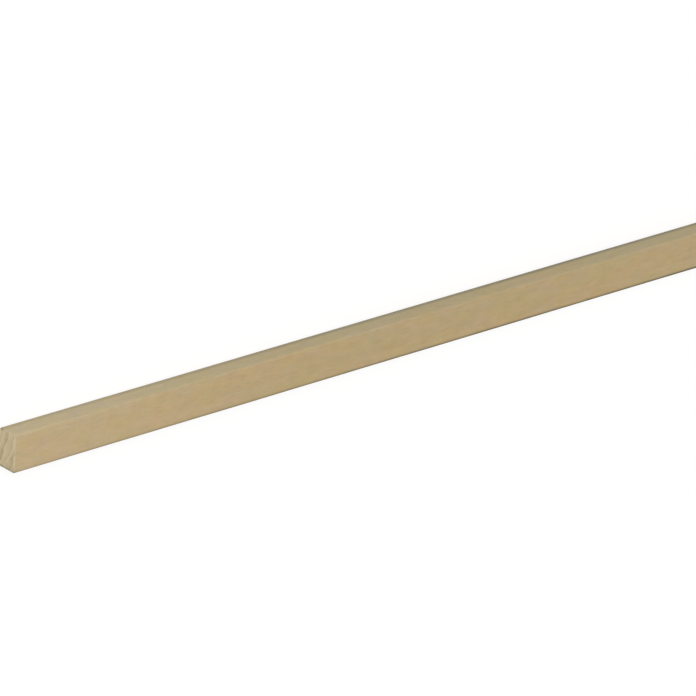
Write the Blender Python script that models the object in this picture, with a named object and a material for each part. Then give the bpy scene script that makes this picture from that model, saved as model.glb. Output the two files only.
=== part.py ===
"""Flat wood strip: one straight length of planed rectangular stripwood.

The strip lies on its wide face on the plane Z = 0, its length along X and its
width along Y. The origin is in the middle of the underside. The section is a
rectangle with its four long arrises rounded, and both ends are square saw
cuts whose sharp rim has been rubbed off. Sizes are in metres.
"""

import bmesh
import bpy

# Driving dimensions
LENGTH = 0.900
WIDTH = 0.025
THICKNESS = 0.015
ARRIS_RADIUS = 0.0011
END_RIM_EASE = 0.0006

# Facets across each rounding
ARRIS_SEGMENTS = 8
END_RIM_SEGMENTS = 3

# Finish: bare planed wood, pale tan, with a faint sheen
WOOD_COLOUR = (0.462, 0.352, 0.195, 1.0)
WOOD_ROUGHNESS = 0.62


def clear_scene():
    """Start from an empty scene."""
    for obj in list(bpy.data.objects):
        bpy.data.objects.remove(obj)


def bare_wood():
    """The one material: unfinished planed wood."""
    material = bpy.data.materials.new("bare_wood")
    material.use_nodes = True
    shader = material.node_tree.nodes["Principled BSDF"]
    shader.inputs["Base Color"].default_value = WOOD_COLOUR
    shader.inputs["Roughness"].default_value = WOOD_ROUGHNESS
    shader.inputs["Metallic"].default_value = 0.0
    return material


def sawn_section(bm):
    """Draw the rectangular section at the -X end, its face pointing out."""
    half_width = WIDTH / 2
    outline = [
        (-half_width, 0.0),
        (-half_width, THICKNESS),
        (half_width, THICKNESS),
        (half_width, 0.0),
    ]
    corners = [bm.verts.new((-LENGTH / 2, y, z)) for y, z in outline]
    return bm.faces.new(corners)


def run_out_length(bm, section):
    """Extrude the section along the grain to the full length."""
    grown = bmesh.ops.extrude_face_region(bm, geom=[section], use_keep_orig=True)
    far_corners = [item for item in grown["geom"] if isinstance(item, bmesh.types.BMVert)]
    bmesh.ops.translate(bm, verts=far_corners, vec=(LENGTH, 0.0, 0.0))
    bmesh.ops.recalc_face_normals(bm, faces=bm.faces)


def runs_along_grain(edge):
    """True for an edge that goes from one end of the strip to the other."""
    start, end = edge.verts
    return start.co.x * end.co.x < 0


def is_end_rim(edge):
    """True for an edge between a sawn end and a long surface."""
    flat_ends = [face for face in edge.link_faces if abs(face.normal.x) > 0.5]
    return len(flat_ends) == 1


def round_edges(bm, edges, radius, segments):
    """Round the given edges to one radius."""
    bmesh.ops.bevel(
        bm,
        geom=edges,
        offset=radius,
        offset_type="OFFSET",
        segments=segments,
        profile=0.5,
        affect="EDGES",
        clamp_overlap=True,
    )


def build_strip():
    """Saw, plane and ease one length of stock."""
    bm = bmesh.new()
    run_out_length(bm, sawn_section(bm))
    long_arrises = [edge for edge in bm.edges if runs_along_grain(edge)]
    round_edges(bm, long_arrises, ARRIS_RADIUS, ARRIS_SEGMENTS)
    bm.normal_update()
    end_rims = [edge for edge in bm.edges if is_end_rim(edge)]
    round_edges(bm, end_rims, END_RIM_EASE, END_RIM_SEGMENTS)

    mesh = bpy.data.meshes.new("wood_strip")
    bm.to_mesh(mesh)
    bm.free()
    mesh.materials.append(bare_wood())
    mesh.shade_smooth()
    mesh.set_sharp_from_angle(angle=0.6)

    strip = bpy.data.objects.new("wood_strip", mesh)
    bpy.context.scene.collection.objects.link(strip)
    return strip


clear_scene()
build_strip()
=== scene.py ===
"""Looks of the flat wood strip: bare planed softwood on a pale studio floor.

The strip is one piece of stock, so the scene has one piece: a fine mesh of the
same bar, with rounded long arrises, eased sawn ends and the faint relief that a
planer and a saw leave. Growth rings are worked out once for the whole solid,
as rings round a pith below the strip, so that the lines on the sawn ends run on
into the long faces. Sizes are in metres.

Left and right are those of someone at the near end, the one at the low x, who
looks along the strip.
"""

import math

import bpy
import numpy as np
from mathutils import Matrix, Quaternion, Vector, noise


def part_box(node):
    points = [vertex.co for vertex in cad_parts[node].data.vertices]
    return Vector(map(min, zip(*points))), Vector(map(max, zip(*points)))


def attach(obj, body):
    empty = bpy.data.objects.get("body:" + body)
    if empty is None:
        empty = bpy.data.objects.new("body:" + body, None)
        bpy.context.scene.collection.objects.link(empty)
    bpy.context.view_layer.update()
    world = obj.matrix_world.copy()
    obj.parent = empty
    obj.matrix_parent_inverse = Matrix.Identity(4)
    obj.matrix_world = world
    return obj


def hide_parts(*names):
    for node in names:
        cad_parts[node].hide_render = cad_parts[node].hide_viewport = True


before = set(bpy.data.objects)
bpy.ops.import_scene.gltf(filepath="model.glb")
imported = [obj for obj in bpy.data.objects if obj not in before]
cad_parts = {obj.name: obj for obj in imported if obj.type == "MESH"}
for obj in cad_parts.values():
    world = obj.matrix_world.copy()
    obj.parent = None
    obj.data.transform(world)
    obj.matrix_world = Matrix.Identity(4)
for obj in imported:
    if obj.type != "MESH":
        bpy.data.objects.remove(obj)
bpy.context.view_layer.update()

# The bar, from the frame
LOW, HIGH = (Vector(corner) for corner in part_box("wood_strip"))
LENGTH, WIDTH, THICKNESS = HIGH - LOW
MIDDLE = (LOW + HIGH) / 2

# The edges, as on the solid
ARRIS_RADIUS = 0.0011
END_RIM_EASE = 0.0006

# How fine the mesh is
ARRIS_HALF_CELLS = 4
END_RIM_CELLS = 3
FACE_CELL = 0.0008
LENGTH_CELL = 0.003
BESIDE_RIM = (0.0009, 0.0018)

# Growth rings: the trunk's pith lies below the strip and runs nearly along it, with one
# slow wave sideways and one up and down. Both waves have the same height, and each has
# its own change of angle per metre.
PITH_Y = 0.0304
PITH_Z = -0.0622
PITH_DRIFT = 0.0012
PITH_TURN_Y = 7.0
PITH_TURN_Z = 5.0
RING_PITCH = 0.00513
FIRST_RING_RADIUS = 0.07318

# Waves in the rings: height, change of angle per metre along x, y and z, and first angle
RING_WAVES = (
    (0.00057, 4.0, 610.0, -519.0, 3.61),
    (0.00050, -3.0, 275.0, -454.0, 2.17),
)

# Where the first ring's dark line lies, as a share of the ring
DARK_PHASE = 0.87

# Darkness through one ring, as share of the ring and darkness. The dark latewood stops
# short where the next year's growth begins.
RING_DARKNESS = (
    (0.0, 0.45),
    (0.035, 0.0),
    (0.10, 0.03),
    (0.25, 0.28),
    (0.50, 0.50),
    (0.74, 0.66),
    (0.86, 0.95),
    (0.94, 1.0),
    (0.975, 0.85),
    (1.0, 0.45),
)

# How far the ring lines stray in the shader, in rings
RING_STRAY = 0.12

# Relief left by the tools, and by the harder latewood after planing
ARRIS_WANDER = 0.00010
RING_RELIEF = 0.000015
SAW_RELIEF = 0.000030

# The wander along each arris: share of the depth, change of angle per metre, and how
# much the angle shifts from one arris to the next
WANDER_WAVES = (
    (0.3, 31.0, 1.0),
    (0.2, 83.0, 2.3),
)

# Share of a ring in which the wood turns from hard to soft
SOFTENING = 0.1

# Saw marks per metre along x, y and z
SAW_MARKS = (150.0, 900.0, 900.0)

# How far the surface is turned to an end, or to a narrow edge, where the look of that
# side begins and where it is complete
END_TURN = (0.15, 0.85)
NARROW_TURN = (0.3, 0.8)

# Painted highlight: pale colour on the edges where the top, the left side and the ends meet
HIGHLIGHT_REACH = 0.0026
HIGHLIGHT_ARRIS_REACH = 0.0040
ARRIS_HIGHLIGHT = 0.17
SIDE_RIM_HIGHLIGHT = 0.35
HIGHLIGHT_FROM_LEFT = (0.001, 0.004)
HIGHLIGHT_FROM_RIGHT = (0.003, 0.008)
HIGHLIGHT_GAP_Y = 0.0003
HIGHLIGHT_GAP_WIDTH = 0.0022
HIGHLIGHT_GAP_DEPTH = 0.75
HIGHLIGHT_STRENGTH = 0.55
HIGHLIGHT_BY_FLECKS = 1.6

# Painted grey shade on the edges along the strip's outline, where the rounding turns from the
# light. The grey keeps its strength for half its reach from the edge. On the low left arris it
# grows towards the middle of the length. On the right arrises and on the ends' rims it is even.
SHADED_SIDE_REACH = 0.0018
UNDERSIDE_REACH = 0.0050
RIGHT_REACH = 0.0022
RIGHT_SIDE_REACH = 0.0012
SHADED_RIM_REACH = 0.0018
SHADED_CORNER_REACH = 0.0011
UNDERSIDE_SHADE = 0.63
RIGHT_SHADE = 0.27
RIM_SHADE = 0.60
SHADE_GROWTH_LENGTH = 0.40
SHADE_AT_ENDS = 0.36

# The right arrises get a painted brown shade too. It grows from both ends to its darkest place,
# which is given as its distance from the near end.
DARKEST_SHADE_PLACE = 0.56
BROWN_SHADE_STRENGTH = 0.95

# How unevenly the painted grey and brown shade take, from fibre to fibre and from streak to
# streak
SHADE_BY_FIBRES = 0.8
SHADE_BY_STREAKS = 0.4

# Both ends are paler than the middle, over this length
PALE_LENGTH = 0.23

# Dark flecks in the end grain: y, z, radius and strength
END_FLECKS = (
    (-0.0017, 0.0039, 0.0009, 0.7),
    (-0.0076, 0.0012, 0.0012, 0.6),
    (-0.0036, 0.0127, 0.0009, 0.8),
    (-0.0092, 0.0073, 0.0012, 0.5),
    (0.0065, 0.0068, 0.0013, 0.3),
    (-0.0092, 0.0132, 0.0017, 0.4),
)

# Wood colours, as linear red, green and blue
EARLYWOOD_PINK = (0.480, 0.334, 0.173, 1.0)
EARLYWOOD_GREEN = (0.432, 0.348, 0.179, 1.0)
LATEWOOD = (0.360, 0.255, 0.130, 1.0)
END_EARLYWOOD = (0.538, 0.436, 0.263, 1.0)
END_LATEWOOD = (0.365, 0.285, 0.165, 1.0)
# Painted highlight colour for the edges
PAINTED_HIGHLIGHT = (0.525, 0.412, 0.250, 1.0)
# Painted grey shade colour along the outline
PAINTED_GREY_SHADE = (0.149, 0.143, 0.095, 1.0)
# Painted brown shade colour on the right arrises
PAINTED_BROWN_SHADE = (0.088, 0.080, 0.043, 1.0)

# What the wood's colour is multiplied by on the narrow edges, a painted sheen, and at the pale
# ends
NARROW_SHEEN_TINT = (0.93, 0.995, 1.045, 1.0)
PALE_TINT = (1.105, 1.125, 1.215, 1.0)

# Share of pinkish wood in the long faces: a start, and what patches and blotches add
PINK_START = -0.55
PINK_BY_PATCHES = 1.2
PINK_BY_BLOTCHES = 0.9

# How much each kind of mark changes the brightness of the long faces, and how much of
# the latewood's colour and of the yellowing shows there
STREAK_TONE = 0.03
FIBRE_TONE = 0.07
FLECK_TONE = 0.055
CLOUD_TONE = 0.06
PORE_TONE = -0.14
TICK_TONE = -0.06
FACE_LATEWOOD = 0.10
YELLOWING = 0.18

# Ring lines on the sawn ends: their strength, how much every second one is stronger, how
# unevenly they fade, and how much the wood's cells change the brightness
END_RINGS = 0.76
END_RINGS_IN_TURN = 0.15
END_RINGS_FADING = 0.6
CELL_TONE = 0.09

# The bare surface
SPECULAR_LEVEL = 0.4
ROUGHNESS = 0.60
ROUGHNESS_BY_FIBRES = 0.12
BUMP_STRENGTH = 0.35
FIBRE_DEPTH = 0.00006

# Where each noise is read, per unit of its seed
SEED_STEP = (1.0, 1.7, 2.3)

# Light and floor
WHITE = (1.0, 1.0, 1.0, 1.0)
WORLD_LEVEL = 0.55
SUN_LEVEL = 1.58
SUN_ANGLE = math.radians(40)
SUN_FROM = Vector((-0.55, 0.30, 0.80))
SOFTBOX_SIZE = 0.3
SOFTBOX_POWER = 0.55
SOFTBOX_OFFSET = Vector((-0.15, 0.55, 0.12))
FLOOR_SIZE = 12.0
FLOOR_GREY = (0.86, 0.86, 0.86, 1.0)
FLOOR_SEEN_LEVEL = 1.15
FLOOR_SEEN_SHARE = 0.6

# Camera. The photograph shows the strip stood on its narrow edge, and here it
# lies on its wide face, so the camera looks down on it and is rolled with it.
CAMERA_BEARING = math.radians(147.05)
CAMERA_ELEVATION = math.radians(43.25)
CAMERA_ROLL = math.radians(116.82)
CAMERA_DISTANCE = 3.893
CAMERA_LENS_MM = 324.5
CAMERA_AIM = Vector((LOW.x + 0.26145, MIDDLE.y + 0.00498, HIGH.z))


def cut_lines(full, radius):
    """Places of the mesh lines across one side of the section, at even turns round each arris."""
    turns = np.arange(1, ARRIS_HALF_CELLS + 1) * (math.pi / 4 / ARRIS_HALF_CELLS)
    arris = radius * np.tan(turns)
    flat = full / 2 - ARRIS_RADIUS
    inner = np.linspace(-flat, flat, round(2 * flat / FACE_CELL) + 1)
    return np.concatenate([(-flat - arris)[::-1], inner, flat + arris])


def section(inset):
    """Mesh points of the section, moved in by inset, as a grid of y and a grid of z."""
    radius = ARRIS_RADIUS - inset
    y, z = np.meshgrid(cut_lines(WIDTH, radius), cut_lines(THICKNESS, radius), indexing="ij")
    flat_y, flat_z = WIDTH / 2 - ARRIS_RADIUS, THICKNESS / 2 - ARRIS_RADIUS
    core_y, core_z = y.clip(-flat_y, flat_y), z.clip(-flat_z, flat_z)

    # Each square corner is drawn in to a round one
    out_y, out_z = y - core_y, z - core_z
    reach = np.hypot(out_y, out_z)
    square = np.maximum(abs(out_y), abs(out_z))
    share = np.divide(square, reach, out=np.ones_like(reach), where=reach > 0)
    return MIDDLE.y + core_y + share * out_y, MIDDLE.z + core_z + share * out_z


def border(rows, columns):
    """Flat indices of a grid's points, once round its edge."""
    around = [(i, 0) for i in range(rows)]
    around += [(rows - 1, j) for j in range(1, columns)]
    around += [(i, columns - 1) for i in range(rows - 2, -1, -1)]
    around += [(0, j) for j in range(columns - 2, 0, -1)]
    return np.array([i * columns + j for i, j in around])


def ring_stations():
    """Where the rings of points stand along the bar, and how far each is moved in."""
    near = []
    for k in range(1, END_RIM_CELLS + 1):
        turn = math.pi / 2 * k / END_RIM_CELLS
        near.append((END_RIM_EASE * (1 - math.cos(turn)), END_RIM_EASE * (1 - math.sin(turn))))
    near += [(offset, 0.0) for offset in BESIDE_RIM]
    start = BESIDE_RIM[-1]
    cells = round((LENGTH - 2 * start) / LENGTH_CELL)
    inner = np.linspace(start, LENGTH - start, cells + 1)[1:-1]
    far = [(LENGTH - offset, inset) for offset, inset in reversed(near)]
    return near + [(offset, 0.0) for offset in inner] + far


def points_at(x, y, z):
    """Points at one place along the bar, as rows."""
    return np.stack([np.full(y.size, x), y.ravel(), z.ravel()], 1)


def cap_faces(rows, columns):
    """Faces of the grids on the two ends, wound so that both look outwards."""
    faces = []
    for i in range(rows - 1):
        for j in range(columns - 1):
            a, b = i * columns + j, (i + 1) * columns + j
            faces.append((a, a + 1, b + 1, b))
            faces.append(tuple(rows * columns + k for k in (a, b, b + 1, a + 1)))
    return faces


def side_faces(loops):
    """Faces between loops of points that follow each other along the bar."""
    faces = []
    for here, there in zip(loops, loops[1:]):
        sides = zip(here, np.roll(here, -1), np.roll(there, -1), there)
        faces += [tuple(int(corner) for corner in side) for side in sides]
    return faces


def strip_mesh():
    """The bar as one closed mesh: a grid on each sawn end, and rings of points between them."""
    cap_y, cap_z = section(END_RIM_EASE)
    edge = border(*cap_y.shape)
    points = [points_at(x, cap_y, cap_z) for x in (LOW.x, HIGH.x)]
    loops = [edge]
    first = 2 * cap_y.size
    for offset, inset in ring_stations():
        y, z = section(inset)
        points.append(points_at(LOW.x + offset, y.ravel()[edge], z.ravel()[edge]))
        loops.append(first + np.arange(edge.size))
        first += edge.size
    loops.append(cap_y.size + edge)

    mesh = bpy.data.meshes.new("planed_wood_strip")
    faces = cap_faces(*cap_y.shape) + side_faces(loops)
    mesh.from_pydata(np.concatenate(points).tolist(), [], faces)
    mesh.update()
    return mesh


def vertex_vectors(mesh, name):
    """A vector of each vertex, as rows."""
    found = np.empty(len(mesh.vertices) * 3, np.float32)
    mesh.vertices.foreach_get(name, found)
    return found.reshape(-1, 3).astype(float)


def write_values(mesh, name, values):
    """Keep a value for each vertex, under a name that the shader reads."""
    made = mesh.attributes.new(name, "FLOAT", "POINT")
    made.data.foreach_set("value", values.astype(np.float32))


def ease(value):
    """Smooth step from 0 to 1."""
    value = value.clip(0, 1)
    return value * value * (3 - 2 * value)


def rise(value, start, full):
    """0 up to the start, rising smoothly to 1."""
    return ease((value - start) / (full - start))


def ring_count(x, y, z):
    """Growth rings out to each point. Whole numbers are where a year's growth begins."""
    along = x - LOW.x
    pith_y = PITH_Y + PITH_DRIFT * np.sin(PITH_TURN_Y * along)
    pith_z = PITH_Z + PITH_DRIFT * np.sin(PITH_TURN_Z * along)
    radius = np.hypot(y - pith_y, z - pith_z)
    for height, turn_x, turn_y, turn_z, start in RING_WAVES:
        radius = radius + height * np.sin(turn_x * along + turn_y * y + turn_z * z + start)
    return (radius - FIRST_RING_RADIUS) / RING_PITCH + DARK_PHASE


def arris_wander(x, normals):
    """How much of its depth the wander has along each arris, from 0 to 1."""
    which_arris = np.sign(normals[:, 1]) + 2 * np.sign(normals[:, 2])
    wander = 0.5
    for share, turn, shift in WANDER_WAVES:
        wander = wander + share * np.sin(turn * x + shift * which_arris)
    return wander


def softness(rings):
    """How soft the wood is: hard at a year's end, soft soon after the next year begins."""
    phase = rings - np.floor(rings)
    hardening = ((phase - SOFTENING) / (1 - SOFTENING)) ** 3
    return np.where(phase < SOFTENING, phase / SOFTENING, 1 - hardening)


def saw_marks(places):
    """Uneven marks of the saw, mostly from 0 to 1."""
    along_x, along_y, along_z = SAW_MARKS
    marks = [noise.noise((along_x * x, along_y * y, along_z * z)) for x, y, z in places]
    return 0.5 + 0.5 * np.array(marks)


def add_relief(mesh):
    """Sink the surface by the small amounts that planing, sanding and sawing leave."""
    places = vertex_vectors(mesh, "co")
    normals = vertex_vectors(mesh, "normal")
    on_end = rise(abs(normals[:, 0]), *END_TURN)
    on_arris = 4 * (normals[:, 1] * normals[:, 2]) ** 2
    depth = ARRIS_WANDER * on_arris * arris_wander(places[:, 0], normals)
    depth += RING_RELIEF * (1 - on_arris) * (1 - on_end) * softness(ring_count(*places.T))
    depth += SAW_RELIEF * on_end * saw_marks(places)
    moved = places - normals * depth[:, None]
    mesh.vertices.foreach_set("co", moved.astype(np.float32).ravel())
    mesh.update()


def highlight_tone(y, end, left, right, top):
    """How far each point is on an edge with a painted highlight, from its distances to the sides.
    """
    arris = (1 - ease(left / HIGHLIGHT_ARRIS_REACH)) * (1 - ease(top / HIGHLIGHT_ARRIS_REACH))
    rim = 1 - ease(end / HIGHLIGHT_REACH)
    top_rim = rim * (1 - ease(top / HIGHLIGHT_REACH))
    top_rim *= rise(left, *HIGHLIGHT_FROM_LEFT) * rise(right, *HIGHLIGHT_FROM_RIGHT)
    from_gap = (y - HIGHLIGHT_GAP_Y) / HIGHLIGHT_GAP_WIDTH
    top_rim *= 1 - HIGHLIGHT_GAP_DEPTH * np.exp(-from_gap * from_gap)
    side_rim = rim * (1 - ease(left / HIGHLIGHT_REACH))
    return np.maximum.reduce([ARRIS_HIGHLIGHT * arris, top_rim, SIDE_RIM_HIGHLIGHT * side_rim])


def edge_shade(distance, reach):
    """Strength of the painted shade: 1 up to half the reach from an edge, falling smoothly to 0
    at the reach.
    """
    return 1 - ease(2 * distance / reach - 1)


def on_right_arris(right, top, bottom):
    """How far each point is on one of the two right arrises."""
    return edge_shade(right, RIGHT_REACH) * edge_shade(np.minimum(top, bottom), RIGHT_SIDE_REACH)


def grey_shade_tone(end, left, right, top, bottom):
    """How far each point is on an edge with painted grey shade."""
    low_left = edge_shade(left, SHADED_SIDE_REACH) * edge_shade(bottom, UNDERSIDE_REACH)
    towards_middle = (end / SHADE_GROWTH_LENGTH).clip(0, 1)
    low_left *= SHADE_AT_ENDS + (1 - SHADE_AT_ENDS) * towards_middle
    right_arris = RIGHT_SHADE * on_right_arris(right, top, bottom)
    right_rim = edge_shade(right, SHADED_RIM_REACH)
    low_left_corner = edge_shade(left, SHADED_CORNER_REACH) * edge_shade(bottom, UNDERSIDE_REACH)
    rim = RIM_SHADE * edge_shade(end, SHADED_RIM_REACH) * np.maximum(right_rim, low_left_corner)
    return np.maximum.reduce([UNDERSIDE_SHADE * low_left, right_arris, rim])


def brown_shade_tone(along, right, top, bottom):
    """How far each point is on a right arris with painted brown shade."""
    nearness = np.minimum(along / DARKEST_SHADE_PLACE, (LENGTH - along) / (LENGTH - DARKEST_SHADE_PLACE))
    return BROWN_SHADE_STRENGTH * nearness * on_right_arris(right, top, bottom)


def end_flecks(y, z):
    """Strength of the dark flecks in the end grain."""
    total = 0.0
    for fleck_y, fleck_z, radius, strength in END_FLECKS:
        apart = np.hypot(y - fleck_y, z - fleck_z) / radius
        total = total + strength * np.exp(-apart * apart)
    return total


def mark_surfaces(mesh):
    """Work out what the shader reads at each point: ring, kind of side, flecks, painted highlight
    and painted shade.
    """
    x, y, z = vertex_vectors(mesh, "co").T
    turn_x, turn_y, _ = abs(vertex_vectors(mesh, "normal")).T
    end = np.minimum(x - LOW.x, HIGH.x - x)
    left, right, top, bottom = HIGH.y - y, y - LOW.y, HIGH.z - z, z - LOW.z
    write_values(mesh, "ring_count", ring_count(x, y, z))
    write_values(mesh, "sawn_end", rise(turn_x, *END_TURN))
    write_values(mesh, "pale_end", (1 - end / PALE_LENGTH).clip(0, 1))
    write_values(mesh, "narrow_edge", rise(turn_y, *NARROW_TURN))
    write_values(mesh, "end_fleck", end_flecks(y, z))
    # Painted highlight, then painted grey and brown shade, on the edges
    write_values(mesh, "highlight_edge", highlight_tone(y, end, left, right, top))
    write_values(mesh, "grey_shade_edge", grey_shade_tone(end, left, right, top, bottom))
    write_values(mesh, "brown_shade_edge", brown_shade_tone(x - LOW.x, right, top, bottom))


class Nodes:
    """A node tree, with short ways to add nodes and join them."""

    def __init__(self, tree):
        self.tree = tree

    def feed(self, socket, value):
        """Link a socket to another one, or set its value."""
        if isinstance(value, bpy.types.NodeSocket):
            self.tree.links.new(value, socket)
        else:
            socket.default_value = value

    def node(self, kind, inputs=None, **settings):
        """Add a node, set its properties, and feed its inputs."""
        made = self.tree.nodes.new("ShaderNode" + kind)
        for name, value in settings.items():
            setattr(made, name, value)
        for key, value in (inputs or {}).items():
            self.feed(made.inputs[key], value)
        return made

    def maths(self, operation, *values):
        """One operation on one to three values."""
        inputs = dict(enumerate(values))
        return self.node("Math", inputs, operation=operation).outputs[0]

    def product(self, first, *others):
        """Multiply values together."""
        total = first
        for factor in others:
            total = self.maths("MULTIPLY", total, factor)
        return total

    def swing(self, value, amount):
        """Turn noise from 0 to 1 into a factor near 1, from 1 - amount to 1 + amount."""
        return self.maths("MULTIPLY_ADD", value, 2 * amount, 1 - amount)

    def attribute(self, name):
        """A value kept on the mesh."""
        return self.node("Attribute", attribute_name=name).outputs["Fac"]

    def grain(self, along, across, seed, detail=2.0):
        """Noise from 0 to 1 in flecks of the given length along and across the grain."""
        place = self.node("TexCoord").outputs["Object"]
        start = [seed * step for step in SEED_STEP]
        scale = (1 / along, 1 / across, 1 / across)
        inputs = {"Vector": place, "Location": start, "Scale": scale}
        flecks = self.node("Mapping", inputs).outputs[0]
        inputs = {"Vector": flecks, "Scale": 1.0, "Detail": detail}
        return self.node("TexNoise", inputs).outputs["Fac"]

    def curve(self, value, stops):
        """A grey value that follows (place, height) stops."""
        ramp = self.node("ValToRGB", {"Fac": value})
        elements = ramp.color_ramp.elements
        elements[0].position, elements[1].position = stops[0][0], stops[-1][0]
        for place, _ in stops[1:-1]:
            elements.new(place)
        for element, (_, height) in zip(elements, stops):
            element.color = (height, height, height, 1.0)
        return ramp.outputs[0]

    def sparse(self, value, start, full):
        """Keep only the peaks of a noise: 0 up to a start, rising to 1."""
        inputs = {"Value": value, "From Min": start, "From Max": full}
        return self.node("MapRange", inputs).outputs[0]

    def mix(self, share, first, second, blend="MIX"):
        """Colour that goes from the first to the second as the share grows."""
        inputs = {"Fac": share, "Color1": first, "Color2": second}
        return self.node("MixRGB", inputs, blend_type=blend).outputs[0]

    def tint(self, colour, factor, share=1.0):
        """Multiply a colour by a factor."""
        return self.mix(share, colour, factor, "MULTIPLY")


def new_material(name):
    """A material and its nodes."""
    material = bpy.data.materials.new(name)
    material.use_nodes = True
    return material, Nodes(material.node_tree)


def ring_darkness(nodes):
    """Latewood from 0 to 1, in lines that stray a little."""
    stray = nodes.grain(along=0.05, across=0.0011, seed=9.3)
    stray = nodes.maths("MULTIPLY_ADD", stray, 2 * RING_STRAY, -RING_STRAY)
    rings = nodes.maths("ADD", nodes.attribute("ring_count"), stray)
    return nodes.curve(nodes.maths("FRACT", rings), RING_DARKNESS)


def face_tone(nodes, streaks, fibres, flecks):
    """Brightness of the long faces: streaks, fibres, flecks, clouds, pores and short ticks."""
    clouds = nodes.grain(along=0.012, across=0.0060, seed=2.9, detail=1.0)
    pores = nodes.grain(along=0.0045, across=0.00022, seed=4.3, detail=1.0)
    pores = nodes.sparse(pores, start=0.60, full=0.72)
    ticks = nodes.grain(along=0.0070, across=0.0015, seed=3.7, detail=1.0)
    ticks = nodes.sparse(ticks, start=0.62, full=0.74)
    return nodes.product(
        nodes.swing(streaks, STREAK_TONE),
        nodes.swing(fibres, FIBRE_TONE),
        nodes.swing(flecks, FLECK_TONE),
        nodes.swing(clouds, CLOUD_TONE),
        nodes.maths("MULTIPLY_ADD", pores, PORE_TONE, 1.0),
        nodes.maths("MULTIPLY_ADD", ticks, TICK_TONE, 1.0),
    )


def face_colour(nodes, latewood, tone):
    """The long faces: pinkish and greenish wood, faint rings, paler ends, and a painted sheen on
    the narrow edges.
    """
    patches = nodes.grain(along=0.090, across=0.018, seed=3.1, detail=1.0)
    blotches = nodes.grain(along=0.009, across=0.0045, seed=6.4, detail=1.0)
    pink = nodes.maths("MULTIPLY_ADD", patches, PINK_BY_PATCHES, PINK_START)
    pink = nodes.maths("MULTIPLY_ADD", blotches, PINK_BY_BLOTCHES, pink)
    colour = nodes.mix(pink, EARLYWOOD_GREEN, EARLYWOOD_PINK)
    colour = nodes.mix(nodes.maths("MULTIPLY", latewood, FACE_LATEWOOD), colour, LATEWOOD)
    colour = nodes.tint(colour, tone)
    yellowing = nodes.grain(along=0.016, across=0.0070, seed=5.8, detail=1.0)
    yellow = {"Red": 1.0, "Green": 1.0, "Blue": nodes.swing(yellowing, YELLOWING)}
    colour = nodes.tint(colour, nodes.node("CombineColor", yellow).outputs[0])
    colour = nodes.tint(colour, PALE_TINT, nodes.attribute("pale_end"))
    # Painted sheen: a cooler, greyer tint on the narrow edges
    return nodes.tint(colour, NARROW_SHEEN_TINT, nodes.attribute("narrow_edge"))


def end_colour(nodes, latewood):
    """The sawn ends: ring lines, every second one darker, flecks and the wood's cells."""
    turn = nodes.attribute("ring_count")
    turn = nodes.maths("MULTIPLY_ADD", turn, math.pi, -math.pi * DARK_PHASE)
    strength = nodes.maths("COSINE", turn)
    strength = nodes.maths("MULTIPLY_ADD", strength, END_RINGS_IN_TURN, END_RINGS)
    fading = nodes.grain(along=0.02, across=0.0035, seed=8.6, detail=1.0)
    strength = nodes.product(strength, nodes.swing(fading, END_RINGS_FADING))
    darkness = nodes.maths("MULTIPLY_ADD", latewood, strength, nodes.attribute("end_fleck"))
    colour = nodes.mix(darkness, END_EARLYWOOD, END_LATEWOOD)
    cells = nodes.grain(along=0.004, across=0.0007, seed=2.4, detail=1.0)
    return nodes.tint(colour, nodes.swing(cells, CELL_TONE))


def edge_light_and_shade_colour(nodes, colour, streaks, fibres, flecks):
    """The wood with a painted highlight on some edges, and painted grey and brown shade along
    others.
    """
    # Painted highlight on some edges
    highlight_share = nodes.attribute("highlight_edge")
    highlight_share = nodes.product(highlight_share, nodes.swing(flecks, HIGHLIGHT_BY_FLECKS), HIGHLIGHT_STRENGTH)
    colour = nodes.mix(highlight_share, colour, PAINTED_HIGHLIGHT)
    by_fibres = nodes.swing(fibres, SHADE_BY_FIBRES)
    by_streaks = nodes.swing(streaks, SHADE_BY_STREAKS)
    # Painted grey and brown shade along the edges
    for edge, shade_colour in (("grey_shade_edge", PAINTED_GREY_SHADE), ("brown_shade_edge", PAINTED_BROWN_SHADE)):
        share = nodes.product(nodes.attribute(edge), by_fibres, by_streaks)
        colour = nodes.mix(share, colour, shade_colour)
    return colour


def bare_wood():
    """Planed pale softwood, with its end grain on the sawn ends."""
    material, nodes = new_material("bare_planed_wood")
    streaks = nodes.grain(along=0.110, across=0.0022, seed=7.7)
    fibres = nodes.grain(along=0.012, across=0.00032, seed=5.2)
    flecks = nodes.grain(along=0.0070, across=0.0028, seed=1.9, detail=1.0)
    latewood = ring_darkness(nodes)
    face = face_colour(nodes, latewood, face_tone(nodes, streaks, fibres, flecks))
    end = end_colour(nodes, latewood)
    colour = nodes.mix(nodes.attribute("sawn_end"), face, end)
    colour = edge_light_and_shade_colour(nodes, colour, streaks, fibres, flecks)

    surface = nodes.tree.nodes["Principled BSDF"].inputs
    nodes.feed(surface["Base Color"], colour)
    nodes.feed(surface["Specular IOR Level"], SPECULAR_LEVEL)
    roughness = nodes.maths("MULTIPLY_ADD", fibres, ROUGHNESS_BY_FIBRES, ROUGHNESS)
    nodes.feed(surface["Roughness"], roughness)
    bump = {"Height": fibres, "Strength": BUMP_STRENGTH, "Distance": FIBRE_DEPTH}
    nodes.feed(surface["Normal"], nodes.node("Bump", bump).outputs[0])
    return material


def build_strip():
    """The dressed strip, in place of the plain solid."""
    mesh = strip_mesh()
    mark_surfaces(mesh)
    add_relief(mesh)
    mesh.materials.append(bare_wood())
    mesh.shade_smooth()
    strip = bpy.data.objects.new("planed_wood_strip", mesh)
    bpy.context.scene.collection.objects.link(strip)
    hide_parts("wood_strip")
    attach(strip, "root")


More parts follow.
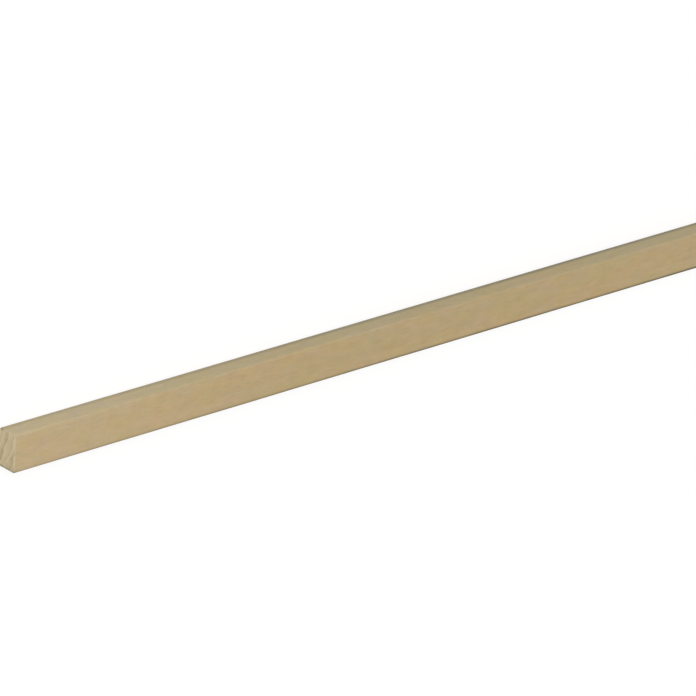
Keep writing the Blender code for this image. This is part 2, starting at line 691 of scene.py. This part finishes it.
def pale_floor():
    """Nearly white floor that takes the strip's shadow, and reads as white to the camera."""
    material, nodes = new_material("pale_floor")
    built_in = nodes.tree.nodes
    built_in.remove(built_in["Principled BSDF"])
    path = nodes.node("LightPath").outputs
    seen = nodes.maths("MAXIMUM", path["Is Camera Ray"], path["Is Glossy Ray"])
    seen = nodes.maths("MAXIMUM", seen, path["Is Transmission Ray"])
    share = nodes.maths("MULTIPLY", seen, FLOOR_SEEN_SHARE)
    matt = nodes.node("BsdfDiffuse", {"Color": FLOOR_GREY}).outputs[0]
    white = nodes.node("Emission", {"Strength": FLOOR_SEEN_LEVEL}).outputs[0]
    both = nodes.node("MixShader", {0: share, 1: matt, 2: white}).outputs[0]
    nodes.feed(built_in["Material Output"].inputs["Surface"], both)
    return material


def build_floor():
    """A large flat floor under the strip."""
    mesh = bpy.data.meshes.new("floor")
    half = FLOOR_SIZE / 2
    around = ((-half, -half), (half, -half), (half, half), (-half, half))
    mesh.from_pydata([(x, y, LOW.z) for x, y in around], [], [(0, 1, 2, 3)])
    mesh.materials.append(pale_floor())
    floor = bpy.data.objects.new("floor", mesh)
    bpy.context.scene.collection.objects.link(floor)


def light_world():
    """Even soft light from all round, and plain white behind the floor."""
    world = bpy.data.worlds.new("studio")
    world.use_nodes = True
    nodes = Nodes(world.node_tree)
    path = nodes.node("LightPath").outputs
    seen = nodes.maths("MAXIMUM", path["Is Camera Ray"], path["Is Glossy Ray"])
    levels = {"Value": seen, "To Min": WORLD_LEVEL, "To Max": 1.0}
    background = nodes.tree.nodes["Background"].inputs
    nodes.feed(background["Strength"], nodes.node("MapRange", levels).outputs[0])
    nodes.feed(background["Color"], WHITE)
    bpy.context.scene.world = world


def add_lamp(data, place, towards):
    """Put a lamp in its place, turned to what it lights, out of the camera's sight."""
    lamp = bpy.data.objects.new(data.name, data)
    lamp.location = place
    lamp.rotation_mode = "QUATERNION"
    lamp.rotation_quaternion = (place - towards).to_track_quat("Z", "Y")
    lamp.visible_camera = False
    bpy.context.scene.collection.objects.link(lamp)


def light_studio():
    """A broad high light, and a small softbox beside the near end."""
    light_world()
    sun = bpy.data.lights.new("broad_light", "SUN")
    sun.energy = SUN_LEVEL
    sun.angle = SUN_ANGLE
    add_lamp(sun, MIDDLE + SUN_FROM, MIDDLE)
    softbox = bpy.data.lights.new("softbox", "AREA")
    softbox.shape = "DISK"
    softbox.size = SOFTBOX_SIZE
    softbox.energy = SOFTBOX_POWER
    near_end = Vector((LOW.x, MIDDLE.y, MIDDLE.z))
    add_lamp(softbox, near_end + SOFTBOX_OFFSET, near_end)


def place_camera():
    """Look from the photograph's side, rolled so that the strip runs up to the right."""
    level = math.cos(CAMERA_ELEVATION)
    outward = Vector(
        (
            level * math.cos(CAMERA_BEARING),
            level * math.sin(CAMERA_BEARING),
            math.sin(CAMERA_ELEVATION),
        )
    )
    data = bpy.data.cameras.new("camera")
    data.lens = CAMERA_LENS_MM
    camera = bpy.data.objects.new("camera", data)
    camera.location = CAMERA_AIM + CAMERA_DISTANCE * outward
    camera.rotation_mode = "QUATERNION"
    roll = Quaternion((0.0, 0.0, 1.0), CAMERA_ROLL)
    camera.rotation_quaternion = outward.to_track_quat("Z", "Y") @ roll
    bpy.context.scene.collection.objects.link(camera)
    bpy.context.scene.camera = camera


build_strip()
build_floor()
light_studio()
place_camera()
bpy.context.scene.view_settings.view_transform = "Standard"
